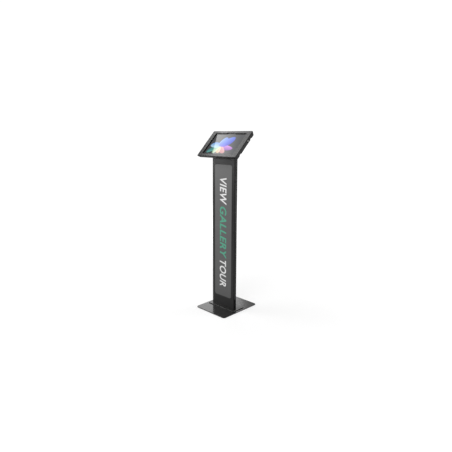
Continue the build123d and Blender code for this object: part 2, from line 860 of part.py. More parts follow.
with BuildPart() as tablet_battery:
    with BuildSketch(head(inside_floor)):
        with Locations((-25.0, -8.0)):
            RectangleRounded(tablet_width - 108.0, tablet_height - 68.0, 3.0)
    extrude(amount=battery_thickness)
finish(tablet_battery, "tablet_battery")

with BuildPart() as circuit_board:
    with BuildSketch(head(inside_floor)):
        with Locations((board_u, 0)):
            RectangleRounded(52.0, tablet_height - 48.0, 2.0)
    extrude(amount=1.2)
    with BuildSketch(head(inside_floor + 1.2)):
        with Locations((board_u - 8.0, 30.0), (board_u + 8.0, 8.0), (board_u - 6.0, -26.0)):
            Rectangle(14.0, 14.0)
    extrude(amount=1.2)
finish(circuit_board, "circuit_board")

support_u = tablet_width / 2 - 31.0
support_s = tablet_height / 2 - 29.0

with BuildPart() as tablet_supports:
    with BuildSketch(head(shell_floor)):
        with Locations(four(support_u, support_s)):
            RectangleRounded(34.0, 24.0, 3.0)
    extrude(amount=tablet_back - shell_floor)
finish(tablet_supports, "tablet_supports")

guide_length = 20.0
guide_thickness = 5.0
guide_height = 11.0
guide_end_u = tablet_width / 2 - 55.0

with BuildPart() as tablet_guides:
    with BuildSketch(head(shell_floor)):
        side_u = tablet_width / 2 + fit_gap + guide_thickness / 2
        with Locations(four(side_u, support_s)):
            Rectangle(guide_thickness, guide_length)
        end_s = tablet_height / 2 + fit_gap + key_proud + guide_thickness / 4
        with Locations(four(guide_end_u, end_s)):
            Rectangle(guide_length, guide_thickness / 2)
    extrude(amount=guide_height)
finish(tablet_guides, "tablet_guides")

# ================================================================ lock
with BuildPart() as lock_housing:
    with BuildSketch(side_plane(barrel_inside)):
        with Locations((lock_s, lock_n)):
            Rectangle(housing_length, housing_height)
            Circle(barrel_radius + seat, mode=Mode.SUBTRACT)
    extrude(amount=housing_depth)
finish(lock_housing, "lock_housing")

with BuildPart() as lock_barrel:
    with BuildSketch(side_plane(barrel_inside)):
        with Locations((lock_s, lock_n)):
            Circle(barrel_radius)
            Circle(plug_radius + running, mode=Mode.SUBTRACT)
    extrude(amount=barrel_outside - barrel_inside)
finish(lock_barrel, "lock_barrel")

with BuildPart() as lock_plug:
    with BuildSketch(side_plane(plug_end)):
        with Locations((lock_s, lock_n)):
            Circle(plug_radius)
    extrude(amount=barrel_outside - 0.3 - plug_end)
    with BuildSketch(side_plane(keeper_in - lock_clear)):
        for end in (-1, 1):
            with Locations((lock_s, lock_n + end * (neck_flats / 2 + plug_radius))):
                Rectangle(2 * plug_radius, 2 * plug_radius)
    extrude(amount=keeper_sheet + 2 * lock_clear, mode=Mode.SUBTRACT)
    with BuildSketch(side_plane(barrel_outside - 7.0)):
        with Locations((lock_s, lock_n)):
            Rectangle(1.2, 4.2)
    extrude(amount=8.0, mode=Mode.SUBTRACT)
finish(lock_plug, "lock_plug")

with BuildPart() as lock_keeper:
    with BuildSketch(side_plane(keeper_in)):
        strip(lock_s - keeper_width / 2, lock_s + keeper_width / 2, keeper_drop, -frame_thickness)
        with Locations((lock_s, lock_n)):
            Circle(plug_radius + mouth_gap, mode=Mode.SUBTRACT)
        with Locations((lock_s, (keeper_drop + lock_n) / 2 - 1)):
            Rectangle(neck_flats + 2 * mouth_gap, lock_n - keeper_drop + 2, mode=Mode.SUBTRACT)
    extrude(amount=keeper_sheet)
    with BuildSketch(head(keeper_foot)):
        strip(keeper_in - 11.0, keeper_out, lock_s - keeper_width / 2, lock_s + keeper_width / 2)
        with Locations(keeper_screw_places):
            Circle(keeper_screw_radius + seat, mode=Mode.SUBTRACT)
    extrude(amount=keeper_sheet)
    for u, s in keeper_screw_places:
        with BuildSketch(head(keeper_foot)):
            with Locations((u, s)):
                Circle(keeper_screw_head + seat)
        extrude(amount=keeper_screw_head - keeper_screw_radius, taper=45, mode=Mode.SUBTRACT)
finish(lock_keeper, "lock_keeper")

with BuildPart() as keeper_screws:
    with BuildSketch(head(keeper_foot)):
        with Locations(keeper_screw_places):
            Circle(keeper_screw_radius)
    extrude(amount=keeper_sheet + keeper_screw_reach - 0.3)
    for u, s in keeper_screw_places:
        with BuildSketch(head(keeper_foot)):
            with Locations((u, s)):
                Circle(keeper_screw_head)
        extrude(amount=keeper_screw_head - keeper_screw_radius, taper=45)
finish(keeper_screws, "keeper_screws")
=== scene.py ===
"""Looks of the free-standing tablet kiosk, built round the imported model.

Sheet-metal and moulded pieces get rounded copies, the panel gets its lettering, the tablet its lit
screen, and every finish is a procedural material.  Metres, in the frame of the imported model.
"""

import json
from math import cos, pi, radians, sin

import bmesh
import bpy
from mathutils import Matrix, Vector

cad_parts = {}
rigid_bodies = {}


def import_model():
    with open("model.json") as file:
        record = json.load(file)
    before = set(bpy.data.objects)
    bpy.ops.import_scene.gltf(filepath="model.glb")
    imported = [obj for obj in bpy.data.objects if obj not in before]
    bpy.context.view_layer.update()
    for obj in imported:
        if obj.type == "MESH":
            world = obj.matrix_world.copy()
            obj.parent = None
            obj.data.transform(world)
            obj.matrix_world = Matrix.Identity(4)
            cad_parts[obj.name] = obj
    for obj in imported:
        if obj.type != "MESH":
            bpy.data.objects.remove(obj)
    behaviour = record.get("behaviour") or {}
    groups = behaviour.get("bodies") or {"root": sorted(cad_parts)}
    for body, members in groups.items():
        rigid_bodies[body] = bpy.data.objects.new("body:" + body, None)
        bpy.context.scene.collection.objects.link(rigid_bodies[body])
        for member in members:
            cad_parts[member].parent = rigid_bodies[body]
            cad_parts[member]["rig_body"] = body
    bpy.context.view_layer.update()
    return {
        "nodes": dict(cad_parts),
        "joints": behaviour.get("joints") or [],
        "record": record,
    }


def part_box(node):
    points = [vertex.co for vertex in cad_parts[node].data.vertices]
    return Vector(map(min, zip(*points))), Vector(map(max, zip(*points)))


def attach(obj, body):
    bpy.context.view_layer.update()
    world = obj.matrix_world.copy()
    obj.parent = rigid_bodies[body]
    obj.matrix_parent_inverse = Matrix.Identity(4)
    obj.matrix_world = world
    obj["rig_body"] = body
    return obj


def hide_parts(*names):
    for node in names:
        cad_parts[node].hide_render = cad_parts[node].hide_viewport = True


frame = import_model()

MM = 0.001
nodes = frame["nodes"]
slot_of = {subpart["node"]: subpart["material_slot"] for subpart in frame["record"]["subparts"]}

# ---------------------------------------------------------------- the tilted head's own frame
# x runs to the right, y up the tilted face and z out of it; its origin is the swivel's joint.
swivel = next(joint for joint in frame["joints"] if joint["name"] == "enclosure_turn")
head_origin = Vector(swivel["pos_m"])
head_out = Vector(swivel["axis"]).normalized()
head_right = Vector((1, 0, 0))
head_up = head_out.cross(head_right)
head_turn = Matrix((head_right, head_up, head_out)).transposed()
head_place = Matrix.Translation(head_origin) @ head_turn.to_4x4()
head_euler = head_turn.to_euler()


def corners_of(points):
    """Lowest and highest corner of a cloud of points."""
    points = list(points)
    low = Vector([min(point[axis] for point in points) for axis in range(3)])
    high = Vector([max(point[axis] for point in points) for axis in range(3)])
    return low, high


def head_box(name):
    """Lowest and highest corner of a node, in the head's frame."""
    into_head = head_place.inverted()
    return corners_of(into_head @ vertex.co for vertex in nodes[name].data.vertices)


def body_of(name):
    """The body that a node rides on."""
    return nodes[name]["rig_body"]


# ---------------------------------------------------------------- camera
camera_place = Vector((1.7302, -1.7893, 1.0839))
camera_azimuth = radians(44.173)
camera_pitch = radians(12.42)
camera_roll = radians(0.30)
camera_lens = 32.36
camera_film = 36


def add_camera():
    """The camera stands to the right of the visitor and looks slightly down."""
    level = cos(camera_pitch)
    forward = Vector((-sin(camera_azimuth) * level, cos(camera_azimuth) * level, -sin(camera_pitch)))
    right = Vector((cos(camera_azimuth), sin(camera_azimuth), 0))
    up = right.cross(forward)
    turned_right = right * cos(camera_roll) + up * sin(camera_roll)
    turned_up = up * cos(camera_roll) - right * sin(camera_roll)
    data = bpy.data.cameras.new("camera")
    data.lens = camera_lens
    data.sensor_width = camera_film
    data.clip_end = 200
    camera = bpy.data.objects.new("camera", data)
    axes = Matrix((turned_right, turned_up, -forward)).transposed()
    camera.matrix_world = Matrix.Translation(camera_place) @ axes.to_4x4()
    bpy.context.scene.collection.objects.link(camera)
    bpy.context.scene.camera = camera


# ---------------------------------------------------------------- light and floor
# name, place, what it faces, width, length, radiance
SOFT_BOXES = (
    ("column_light", (-2.05, -1.40, 1.45), (0, 0, 0.80), 1.25, 1.2, 4.8),
    ("base_light", (-2.83, 2.17, 1.70), (0, 0, 0), 1.6, 1.4, 1.7),
    ("back_light", (1.50, 2.70, 2.30), (0, 0, 0.80), 1.8, 1.2, 4.0),
    ("side_light", (2.50, 2.30, 0.45), (0, 0, 0.45), 1.1, 0.9, 1.1),
    ("front_light", (0.90, -2.20, 2.50), (0, 0, 0.60), 1.4, 1.4, 5.0),
)

# the light that the glass mirrors: its bright edge crosses the glass from top to low, and it fades inwards
glow_edge_top = (-115 * MM, 77 * MM)
glow_edge_low = (-43 * MM, -83 * MM)
glow_inside = (120 * MM, 0)
glow_distance = 1.6
glow_width = 1.0
glow_length = 1.5
glow_radiance = 5.0
glow_fade_span = 0.30
glow_faded = 0.26

sky_light = 0.50
sky_seen = 1.05
floor_half = 40
floor_glow_near = 0.58
floor_glow_far = 0.88


def mirrored_point(spot):
    """Where a sight line that the glass mirrors at a spot, given as right and up, meets the light."""
    glass_point = head_place @ Vector((*spot, head_box("cover_glass")[1].z))
    sight = (glass_point - camera_place).normalized()
    bounced = sight - 2 * sight.dot(head_out) * head_out
    return glass_point + glow_distance * bounced


def soft_light(name, centre, across, along, width, length, radiance):
    """A rectangular soft light; across and along are the directions of its sides."""
    data = bpy.data.lights.new(name, "AREA")
    data.shape = "RECTANGLE"
    data.size = width
    data.size_y = length
    data.energy = radiance * pi * width * length
    light = bpy.data.objects.new(name, data)
    out = across.cross(along).normalized()
    axes = Matrix((across, along, out)).transposed()
    light.matrix_world = Matrix.Translation(centre) @ axes.to_4x4()
    light.visible_camera = False
    bpy.context.scene.collection.objects.link(light)
    return light


def facing_light(name, centre, target, width, length, radiance):
    """An upright soft light that faces a target."""
    out = (Vector(centre) - Vector(target)).normalized()
    across = Vector((0, 0, 1)).cross(out).normalized()
    return soft_light(name, Vector(centre), across, out.cross(across), width, length, radiance)


def add_glass_light():
    """The soft box over the visitor's left shoulder, whose bright long edge shows in the glass."""
    edge_top = mirrored_point(glow_edge_top)
    edge_low = mirrored_point(glow_edge_low)
    inside = mirrored_point(glow_inside)
    along = (edge_low - edge_top).normalized()
    across = inside - edge_top
    across = (across - across.dot(along) * along).normalized()
    centre = (edge_top + edge_low) / 2 + across * glow_width / 2
    light = soft_light("glass_light", centre, across, along, glow_width, glow_length, glow_radiance)
    turned = (light.matrix_world.to_3x3() @ Vector((0, 0, -1))).dot(head_origin - centre) < 0
    if turned:
        light.matrix_world = light.matrix_world @ Matrix.Rotation(pi, 4, "Y")
    light.data.use_nodes = True
    tree = Tree(light.data.node_tree)
    spot = tree.add("ShaderNodeSeparateXYZ", Vector=tree.add("ShaderNodeNewGeometry").outputs["Parametric"])
    near, far = (1.0, 1.0 - glow_fade_span) if turned else (0.0, glow_fade_span)
    glow = light.data.node_tree.nodes["Emission"]
    tree.feed(glow, "Strength", tree.ramp(spot.outputs["X"], near, far, 1.0, glow_faded))


def add_studio():
    """A pale floor under an even white sky, with soft boxes for the sheen of the paint."""
    world = bpy.data.worlds.new("studio")
    bpy.context.scene.world = world
    world.use_nodes = True
    sky = world.node_tree.nodes["Background"]
    tree = Tree(world.node_tree)
    seen = tree.add("ShaderNodeLightPath").outputs["Is Camera Ray"]
    sky.inputs["Color"].default_value = grey(1.0)
    tree.feed(sky, "Strength", tree.ramp(seen, 0.0, 1.0, sky_light, sky_seen, "LINEAR"))
    shape = bmesh.new()
    bmesh.ops.create_grid(shape, x_segments=4, y_segments=4, size=floor_half)
    floor = new_piece("floor", shape)
    floor.data.materials.append(floor_finish())
    add_glass_light()
    for name, place, target, width, length, radiance in SOFT_BOXES:
        facing_light(name, place, target, width, length, radiance)
    bpy.context.scene.view_settings.view_transform = "Standard"


# ---------------------------------------------------------------- pieces
sharp_angle = 32
weld_distance = 0.001 * MM
flat_angle = 0.3


def new_piece(name, shape):
    """Turns a finished bmesh into an object at the origin."""
    mesh = bpy.data.meshes.new(name)
    shape.to_mesh(mesh)
    shape.free()
    piece = bpy.data.objects.new(name, mesh)
    bpy.context.scene.collection.objects.link(piece)
    return piece


def smooth(piece, angle=sharp_angle):
    """Smooth shading, with sharp edges over an angle in degrees."""
    piece.data.shade_smooth()
    piece.data.set_sharp_from_angle(angle=radians(angle))


def round_edges(piece, width):
    """A Bevel modifier on the sharp edges, with flat faces kept flat."""
    bevel = piece.modifiers.new("edges", "BEVEL")
    bevel.width = width
    bevel.segments = 2
    bevel.limit_method = "ANGLE"
    bevel.angle_limit = radians(sharp_angle)
    bevel.miter_outer = "MITER_ARC"
    bevel.use_clamp_overlap = True
    bevel.harden_normals = False
    piece.data.shade_smooth()
    weighted = piece.modifiers.new("normals", "WEIGHTED_NORMAL")
    weighted.keep_sharp = True
    weighted.weight = 100


def merged_shape(name):
    """A node's mesh with its triangles merged and its flat faces made whole."""
    shape = bmesh.new()
    shape.from_mesh(nodes[name].data)
    bmesh.ops.remove_doubles(shape, verts=shape.verts, dist=weld_distance)
    bmesh.ops.dissolve_limit(
        shape,
        angle_limit=radians(flat_angle),
        use_dissolve_boundaries=False,
        verts=shape.verts,
        edges=shape.edges,
    )
    return shape


def dress(piece, node_name, finish):
    """Puts a piece on the body of a node, with its finish."""
    piece.data.materials.clear()
    piece.data.materials.append(finish)
    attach(piece, body_of(node_name))


def rounded_copy(name, width, finish):
    """A merged copy of a node with rounded edges stands for it."""
    piece = new_piece(name + "_rounded", merged_shape(name))
    round_edges(piece, width)
    dress(piece, name, finish)
    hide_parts(name)


def smooth_copy(name, finish):
    """A merged copy of a node, smooth round its curves, stands for it."""
    piece = new_piece(name + "_smooth", merged_shape(name))
    smooth(piece)
    dress(piece, name, finish)
    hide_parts(name)


# ---------------------------------------------------------------- node helpers
def new_group(name, inputs, outputs):
    """An empty node group with its sockets; kinds are Float, Vector and Color."""
    group = bpy.data.node_groups.new(name, "ShaderNodeTree")
    for label, kind, value in inputs:
        socket = group.interface.new_socket(label, in_out="INPUT", socket_type="NodeSocket" + kind)
        socket.default_value = value
    for label, kind in outputs:
        group.interface.new_socket(label, in_out="OUTPUT", socket_type="NodeSocket" + kind)
    return group


class Tree:
    """Adds nodes to a node tree. A value given for an input is either a number or another node's output."""

    def __init__(self, tree):
        self.tree = tree

    def add(self, kind, settings=None, **inputs):
        """A node of a kind, with its settings, and its inputs fed by name."""
        node = self.tree.nodes.new(kind)
        for key, value in (settings or {}).items():
            setattr(node, key, value)
        for key, value in inputs.items():
            self.feed(node, key.replace("_", " "), value)
        return node

    def feed(self, node, key, value):
        """Links or sets an input, given by its name or by its number as text."""
        socket = node.inputs[int(key)] if key.isdigit() else node.inputs[key]
        if isinstance(value, bpy.types.NodeSocket):
            self.tree.links.new(value, socket)
        else:
            socket.default_value = value

    def sum(self, kind, first, second, clamp=False):
        """One sum of two values."""
        node = self.add("ShaderNodeMath", {"operation": kind, "use_clamp": clamp})
        self.feed(node, "0", first)
        self.feed(node, "1", second)
        return node.outputs[0]

    def ramp(self, value, low, high, to_low=0.0, to_high=1.0, kind="SMOOTHSTEP"):
        """A value from low to high, made one from to_low to to_high."""
        node = self.add("ShaderNodeMapRange", {"interpolation_type": kind}, Value=value)
        node.inputs["From Min"].default_value = low
        node.inputs["From Max"].default_value = high
        node.inputs["To Min"].default_value = to_low
        node.inputs["To Max"].default_value = to_high
        return node.outputs["Result"]

    def noise(self, vector, scale, detail=2.0, roughness=0.5):
        """Cloudy noise, mostly between a quarter and three quarters."""
        inputs = {"Vector": vector, "Scale": scale, "Detail": detail, "Roughness": roughness}
        return self.add("ShaderNodeTexNoise", **inputs).outputs["Fac"]

    def mix(self, factor, first, second):
        """Two colours mixed by a factor."""
        node = self.add("ShaderNodeMix", {"data_type": "RGBA"})
        node.clamp_factor = True
        self.feed(node, "0", factor)
        self.feed(node, "6", first)
        self.feed(node, "7", second)
        return node.outputs[2]

    def mapping(self, vector, kind="POINT", place=(0, 0, 0), turn=(0, 0, 0), scale=(1, 1, 1)):
        """A vector moved, turned and scaled; kind TEXTURE does it the other way round."""
        node = self.add("ShaderNodeMapping", {"vector_type": kind}, Vector=vector)
        node.inputs["Location"].default_value = place
        node.inputs["Rotation"].default_value = turn
        node.inputs["Scale"].default_value = scale
        return node.outputs["Vector"]

    def group(self, group, **inputs):
        """A shared effect, with its inputs fed by name."""
        return self.add("ShaderNodeGroup", {"node_tree": group}, **inputs)


def grey(value):
    """A neutral linear colour."""
    return (value, value, value, 1)


# ---------------------------------------------------------------- shared effects
def powder_coat_group():
    """Orange peel of baked powder: a bump height, and a slow change of tone."""
    group = new_group(
        "powder_coat",
        [("Vector", "Vector", (0, 0, 0)), ("Grain", "Float", 900.0)],
        [("Height", "Float"), ("Tone", "Float")],
    )
    tree = Tree(group)
    inside, outside = tree.add("NodeGroupInput"), tree.add("NodeGroupOutput")
    vector, grain = inside.outputs["Vector"], inside.outputs["Grain"]
    peel = tree.add("ShaderNodeTexVoronoi", {"feature": "SMOOTH_F1"}, Vector=vector, Scale=grain)
    peel.inputs["Smoothness"].default_value = 0.8
    waves = tree.noise(vector, tree.sum("MULTIPLY", grain, 0.35), 3.0)
    dust = tree.noise(vector, tree.sum("MULTIPLY", grain, 2.6), 1.0)
    height = tree.sum("MULTIPLY", peel.outputs["Distance"], 0.6)
    height = tree.sum("ADD", height, tree.sum("MULTIPLY", waves, 0.5))
    height = tree.sum("ADD", height, tree.sum("MULTIPLY", dust, 0.25))
    tree.feed(outside, "Height", height)
    slow = tree.noise(vector, 7.0, 4.0, 0.6)
    tree.feed(outside, "Tone", tree.ramp(slow, 0.25, 0.75))
    return group


def hand_marks_group():
    """Faint smudges where hands and cloths have been."""
    group = new_group(
        "hand_marks",
        [("Vector", "Vector", (0, 0, 0)), ("Size", "Float", 22.0)],
        [("Marks", "Float"), ("Streaks", "Float")],
    )
    tree = Tree(group)
    inside, outside = tree.add("NodeGroupInput"), tree.add("NodeGroupOutput")
    vector, size = inside.outputs["Vector"], inside.outputs["Size"]
    blots = tree.ramp(tree.noise(vector, size, 3.0, 0.55), 0.5, 0.72)
    ridges = tree.ramp(tree.noise(vector, tree.sum("MULTIPLY", size, 9.0), 2.0), 0.3, 0.7, 0.55, 1.0)
    tree.feed(outside, "Marks", tree.sum("MULTIPLY", blots, ridges))
    wiped = tree.mapping(vector, turn=(0.3, 0.5, 0.6), scale=(1.5, 14.0, 1.5))
    tree.feed(outside, "Streaks", tree.ramp(tree.noise(wiped, size, 2.0), 0.45, 0.75))
    return group


def fine_scratches_group():
    """Hairline scratches in two directions."""
    group = new_group(
        "fine_scratches",
        [("Vector", "Vector", (0, 0, 0)), ("Scale", "Float", 60.0)],
        [("Scratches", "Float")],
    )
    tree = Tree(group)
    inside, outside = tree.add("NodeGroupInput"), tree.add("NodeGroupOutput")
    found = []
    for turned in ((0.2, 0.4, 0.7), (-0.5, 0.3, -0.9)):
        vector = tree.mapping(inside.outputs["Vector"], turn=turned, scale=(0.5, 14.0, 4.0))
        lines = tree.noise(vector, inside.outputs["Scale"], 2.0, 0.4)
        found.append(tree.ramp(lines, 0.68, 0.74))
    patches = tree.ramp(tree.noise(inside.outputs["Vector"], 14.0, 2.0), 0.5, 0.62)
    both = tree.sum("MAXIMUM", found[0], found[1])
    tree.feed(outside, "Scratches", tree.sum("MULTIPLY", both, patches))
    return group


def edge_wear_group():
    """Rubbed paint along the edges of a box from Low to High."""
    group = new_group(
        "edge_wear",
        [
            ("Vector", "Vector", (0, 0, 0)),
            ("Low", "Vector", (0, 0, 0)),
            ("High", "Vector", (1, 1, 1)),
            ("Width", "Float", 0.002),
        ],
        [("Wear", "Float"), ("Edge", "Float")],
    )
    tree = Tree(group)
    inside, outside = tree.add("NodeGroupInput"), tree.add("NodeGroupOutput")

    def apart(first, second):
        node = tree.add("ShaderNodeVectorMath", {"operation": "SUBTRACT"})
        tree.feed(node, "0", first)
        tree.feed(node, "1", second)
        return node.outputs["Vector"]

    from_low = apart(inside.outputs["Vector"], inside.outputs["Low"])
    from_high = apart(inside.outputs["High"], inside.outputs["Vector"])
    nearest = tree.add("ShaderNodeVectorMath", {"operation": "MINIMUM"})
    tree.feed(nearest, "0", from_low)
    tree.feed(nearest, "1", from_high)
    split = tree.add("ShaderNodeSeparateXYZ", Vector=nearest.outputs["Vector"])
    x, y, z = split.outputs["X"], split.outputs["Y"], split.outputs["Z"]
    total = tree.sum("ADD", tree.sum("ADD", x, y), z)
    least = tree.sum("MINIMUM", tree.sum("MINIMUM", x, y), z)
    most = tree.sum("MAXIMUM", tree.sum("MAXIMUM", x, y), z)
    middle = tree.sum("SUBTRACT", tree.sum("SUBTRACT", total, least), most)
    share = tree.sum("DIVIDE", middle, inside.outputs["Width"])
    edge = tree.ramp(share, 0.0, 1.0, 1.0, 0.0)
    tree.feed(outside, "Edge", edge)
    patches = tree.ramp(tree.noise(inside.outputs["Vector"], 55.0, 5.0, 0.65), 0.52, 0.66)
    tree.feed(outside, "Wear", tree.sum("MULTIPLY", edge, patches, True))
    return group


def brushed_group():
    """Fine lines along one direction, for drawn, turned or brushed metal."""
    group = new_group(
        "brushed",
        [("Vector", "Vector", (0, 0, 0)), ("Scale", "Float", 400.0)],
        [("Lines", "Float"), ("Bloom", "Float")],
    )
    tree = Tree(group)
    inside, outside = tree.add("NodeGroupInput"), tree.add("NodeGroupOutput")
    stretched = tree.mapping(inside.outputs["Vector"], scale=(0.08, 1.0, 1.0))
    tree.feed(outside, "Lines", tree.noise(stretched, inside.outputs["Scale"], 4.0, 0.6))
    tree.feed(outside, "Bloom", tree.ramp(tree.noise(inside.outputs["Vector"], 90.0, 4.0, 0.6), 0.3, 0.7))
    return group


def rubber_grain_group():
    """Matt moulded grain with a little dust."""
    group = new_group(
        "rubber_grain",
        [("Vector", "Vector", (0, 0, 0)), ("Scale", "Float", 1500.0)],
        [("Height", "Float"), ("Dust", "Float")],
    )
    tree = Tree(group)
    inside, outside = tree.add("NodeGroupInput"), tree.add("NodeGroupOutput")
    tree.feed(outside, "Height", tree.noise(inside.outputs["Vector"], inside.outputs["Scale"], 3.0, 0.7))
    tree.feed(outside, "Dust", tree.ramp(tree.noise(inside.outputs["Vector"], 120.0, 4.0, 0.7), 0.5, 0.8))
    return group


def soft_petal_group():
    """A soft-edged bent petal on a flat picture, and how far across it a point lies."""
    group = new_group(
        "soft_petal",
        [
            ("Vector", "Vector", (0, 0, 0)),
            ("Centre", "Vector", (0, 0, 0)),
            ("Turn", "Float", 0.0),
            ("Length", "Float", 0.5),
            ("Width", "Float", 0.2),
            ("Bend", "Float", 0.0),
        ],
        [("Mask", "Float"), ("Across", "Float")],
    )
    tree = Tree(group)
    inside, outside = tree.add("NodeGroupInput"), tree.add("NodeGroupOutput")
    turned = tree.add("ShaderNodeVectorRotate", {"rotation_type": "Z_AXIS"})
    tree.feed(turned, "Vector", inside.outputs["Vector"])
    tree.feed(turned, "Center", inside.outputs["Centre"])
    tree.feed(turned, "Angle", inside.outputs["Turn"])
    shifted = tree.add("ShaderNodeVectorMath", {"operation": "SUBTRACT"})
    tree.feed(shifted, "0", turned.outputs["Vector"])
    tree.feed(shifted, "1", inside.outputs["Centre"])
    split = tree.add("ShaderNodeSeparateXYZ", Vector=shifted.outputs["Vector"])
    along = tree.sum("DIVIDE", split.outputs["X"], inside.outputs["Length"])
    along_squared = tree.sum("MULTIPLY", along, along)
    bow = tree.sum("MULTIPLY", along_squared, inside.outputs["Bend"])
    bowed = tree.sum("SUBTRACT", split.outputs["Y"], bow)
    across = tree.sum("DIVIDE", bowed, inside.outputs["Width"])
    across_squared = tree.sum("MULTIPLY", across, across)
    reach = tree.sum("ADD", along_squared, across_squared)
    tree.feed(outside, "Mask", tree.ramp(reach, 0.72, 1.05, 1.0, 0.0))
    tree.feed(outside, "Across", tree.ramp(across, -1.0, 1.0, kind="LINEAR"))
    return group


powder_coat = powder_coat_group()
hand_marks = hand_marks_group()
fine_scratches = fine_scratches_group()
edge_wear = edge_wear_group()
brushed = brushed_group()
rubber_grain = rubber_grain_group()
soft_petal = soft_petal_group()


# ---------------------------------------------------------------- finishes
smudge_size = 18.0
wear_width = 0.0022
rubbed_grey = 0.16
scratch_grey = 0.12


def new_finish(name):
    """A material with an empty tree round its shader, and the piece's own coordinates."""
    material = bpy.data.materials.new(name)
    material.use_nodes = True
    shader = material.node_tree.nodes["Principled BSDF"]
    tree = Tree(material.node_tree)
    coordinates = tree.add("ShaderNodeTexCoord").outputs["Object"]
    return material, shader, tree, coordinates


def bump(tree, shader, height, distance):
    """Lets a height pattern shape the shader's normal."""
    node = tree.add("ShaderNodeBump", Height=height, Strength=1.0, Distance=distance)
    tree.feed(shader, "Normal", node.outputs["Normal"])


def painted(name, colour, roughness, grain, depth, box, tilted=False, worn=0.4, marks=0.1):
    """Powder-coated steel: peel, tone, hand marks, hairlines, and wear along the edges of its box."""
    material, shader, tree, vector = new_finish(name)
    if tilted:
        vector = tree.mapping(vector, "TEXTURE", head_origin, head_euler)
    paint = tree.group(powder_coat, Vector=vector, Grain=grain)
    smudge = tree.group(hand_marks, Vector=vector, Size=smudge_size)
    hairline = tree.group(fine_scratches, Vector=vector, Scale=45.0)
    tone = tree.mix(paint.outputs["Tone"], grey(colour * 0.88), grey(colour * 1.12))
    tone = tree.mix(tree.sum("MULTIPLY", hairline.outputs["Scratches"], 0.12), tone, grey(scratch_grey))
    rough = tree.ramp(paint.outputs["Tone"], 0.0, 1.0, roughness - 0.03, roughness + 0.03, "LINEAR")
    rough = tree.sum("ADD", rough, tree.sum("MULTIPLY", smudge.outputs["Marks"], marks))
    rough = tree.sum("ADD", rough, tree.sum("MULTIPLY", smudge.outputs["Streaks"], marks * 0.4))
    rubbed = tree.group(edge_wear, Vector=vector, Low=box[0], High=box[1], Width=wear_width)
    tone = tree.mix(tree.sum("MULTIPLY", rubbed.outputs["Wear"], worn), tone, grey(rubbed_grey))
    rough = tree.sum("SUBTRACT", rough, tree.sum("MULTIPLY", rubbed.outputs["Edge"], 0.05))
    tree.feed(shader, "Base Color", tone)
    tree.feed(shader, "Roughness", rough)
    bump(tree, shader, paint.outputs["Height"], depth)
    return material


def metal(name, colour, roughness, scale=500.0, tint=0.2, tilted=False):
    """Bare or plated metal with fine working lines and a mottled bloom."""
    material, shader, tree, vector = new_finish(name)
    if tilted:
        vector = tree.mapping(vector, "TEXTURE", head_origin, head_euler)
    lines = tree.group(brushed, Vector=vector, Scale=scale)
    dark = tuple(part * (1 - tint) for part in colour) + (1,)
    tree.feed(shader, "Base Color", tree.mix(lines.outputs["Bloom"], dark, tuple(colour) + (1,)))
    rough = tree.ramp(lines.outputs["Lines"], 0.3, 0.7, roughness - 0.07, roughness + 0.07, "LINEAR")
    tree.feed(shader, "Roughness", rough)
    shader.inputs["Metallic"].default_value = 1.0
    bump(tree, shader, lines.outputs["Lines"], 0.00004)
    return material


def moulded(name, colour, roughness, scale=1400.0, depth=0.00006, dust=0.1, dusty=(0.2, 0.2, 0.19, 1)):
    """Rubber, foam or moulded plastic."""
    material, shader, tree, vector = new_finish(name)
    grain = tree.group(rubber_grain, Vector=vector, Scale=scale)
    cover = tree.sum("MULTIPLY", grain.outputs["Dust"], dust)
    tree.feed(shader, "Base Color", tree.mix(cover, tuple(colour) + (1,), dusty))
    dusty_roughness = min(1, roughness + 0.15)
    tree.feed(shader, "Roughness", tree.ramp(grain.outputs["Dust"], 0, 1, roughness, dusty_roughness))
    bump(tree, shader, grain.outputs["Height"], depth)
    return material


def floor_finish():
    """A plain pale floor, seen to glow more with distance so that it runs into the white sky."""
    material, shader, tree, vector = new_finish("pale_floor")
    cloud = tree.noise(vector, 1.5, 3.0)
    tree.feed(shader, "Base Color", tree.mix(cloud, grey(0.40), grey(0.43)))
    shader.inputs["Roughness"].default_value = 0.85
    shader.inputs["Specular IOR Level"].default_value = 0.2
    shader.inputs["Emission Color"].default_value = grey(1.0)
    seen = tree.add("ShaderNodeLightPath").outputs["Is Camera Ray"]
    away = tree.add("ShaderNodeVectorMath", {"operation": "LENGTH"}, Vector=vector).outputs["Value"]
    glow = tree.ramp(away, 0.3, 2.6, floor_glow_near, floor_glow_far)
    tree.feed(shader, "Emission Strength", tree.sum("MULTIPLY", seen, glow))
    return material


# greys of the panel at its bottom and at its top; the rise between them is painted light, as if lit from
# above
panel_painted_shade_grey = 0.108
panel_painted_light_grey = 0.145


def panel_finish():
    """The graphic panel: a dark grey print under a satin film, with painted light that makes it lighter
    towards the top, print grain and a few hairlines.
    """
    material, shader, tree, vector = new_finish("printed_panel")
    low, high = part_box("graphic_panel")
    paint = tree.group(powder_coat, Vector=vector, Grain=2600.0)
    smudge = tree.group(hand_marks, Vector=vector, Size=11.0)
    hairline = tree.group(fine_scratches, Vector=vector, Scale=30.0)
    up = tree.add("ShaderNodeSeparateXYZ", Vector=vector).outputs["Z"]
    # painted light: the print is darker at the bottom and lighter towards the top, as if lit from above and
    # in front
    painted_top_light = tree.ramp(up, low.z, high.z, kind="LINEAR")
    tone = tree.mix(painted_top_light, grey(panel_painted_shade_grey), grey(panel_painted_light_grey))
    speckle = tree.ramp(tree.noise(vector, 3200.0, 1.0), 0.3, 0.7)
    tone = tree.mix(tree.sum("MULTIPLY", speckle, 0.12), tone, grey(0.16))
    tone = tree.mix(tree.sum("MULTIPLY", hairline.outputs["Scratches"], 0.15), tone, grey(0.25))
    tree.feed(shader, "Base Color", tone)
    rough = tree.ramp(smudge.outputs["Marks"], 0.0, 1.0, 0.40, 0.52)
    tree.feed(shader, "Roughness", rough)
    bump(tree, shader, paint.outputs["Height"], 0.00003)
    return material


